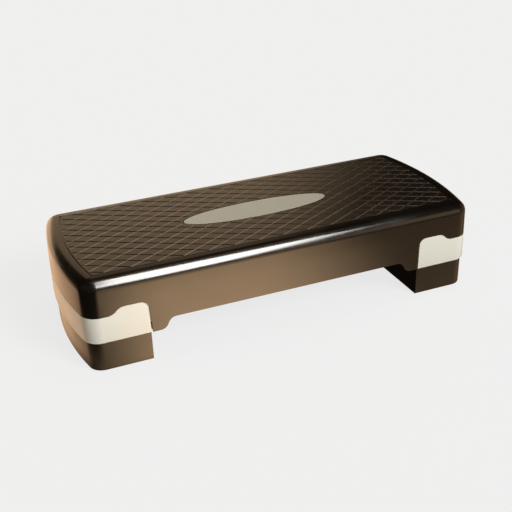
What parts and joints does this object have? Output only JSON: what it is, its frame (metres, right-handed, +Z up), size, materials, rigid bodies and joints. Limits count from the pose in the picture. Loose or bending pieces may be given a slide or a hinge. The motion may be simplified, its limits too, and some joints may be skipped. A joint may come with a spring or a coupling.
{
  "type": "aerobic step platform",
  "caption": "Long step platform with a diamond tread deck, bulging ends, end collars and fold-in feet for two heights.",
  "frame": {"origin": "on the floor, under the middle of the deck, with both feet down", "axes": "+X along the step, -Y towards the front skirt seen in the picture, +Z up"},
  "size_m": [0.68, 0.28, 0.15],
  "materials": {
    "black_plastic": "satin black moulded polypropylene",
    "foot_plastic": "satin black moulded polypropylene",
    "tread_plastic": "fine matt black, moulded diamond grooves",
    "badge_grey": "satin warm grey",
    "cream_plastic": "satin cream moulded polypropylene",
    "pin_steel": "drawn steel",
    "screw_zinc": "zinc-plated steel",
    "pad_rubber": "matt black rubber"
  },
  "bodies": {
    "platform": {"platform_shell": "black_plastic", "tread_mat": "tread_plastic", "badge_plate": "badge_grey", "left_end_collar": "cream_plastic", "right_end_collar": "cream_plastic", "left_front_hinge_pin": "pin_steel", "left_rear_hinge_pin": "pin_steel", "right_front_hinge_pin": "pin_steel", "right_rear_hinge_pin": "pin_steel", "left_collar_screw_1": "screw_zinc", "left_collar_screw_2": "screw_zinc", "left_collar_screw_3": "screw_zinc", "left_collar_screw_4": "screw_zinc", "right_collar_screw_1": "screw_zinc", "right_collar_screw_2": "screw_zinc", "right_collar_screw_3": "screw_zinc", "right_collar_screw_4": "screw_zinc"},
    "left_foot": {"left_folding_foot": "foot_plastic", "left_foot_pad_1": "pad_rubber", "left_foot_pad_2": "pad_rubber", "left_foot_pad_3": "pad_rubber", "left_foot_pad_4": "pad_rubber"},
    "right_foot": {"right_folding_foot": "foot_plastic", "right_foot_pad_1": "pad_rubber", "right_foot_pad_2": "pad_rubber", "right_foot_pad_3": "pad_rubber", "right_foot_pad_4": "pad_rubber"}
  },
  "joints": [
    {"name": "left_foot_fold", "type": "hinge", "parent": "platform", "child": "left_foot", "pos_m": [-0.2178, 0, 0.0585], "axis": [0, -1, 0], "range_deg": [0, 180]},
    {"name": "right_foot_fold", "type": "hinge", "parent": "platform", "child": "right_foot", "pos_m": [0.2178, 0, 0.0585], "axis": [0, 1, 0], "range_deg": [0, 180]}
  ]
}
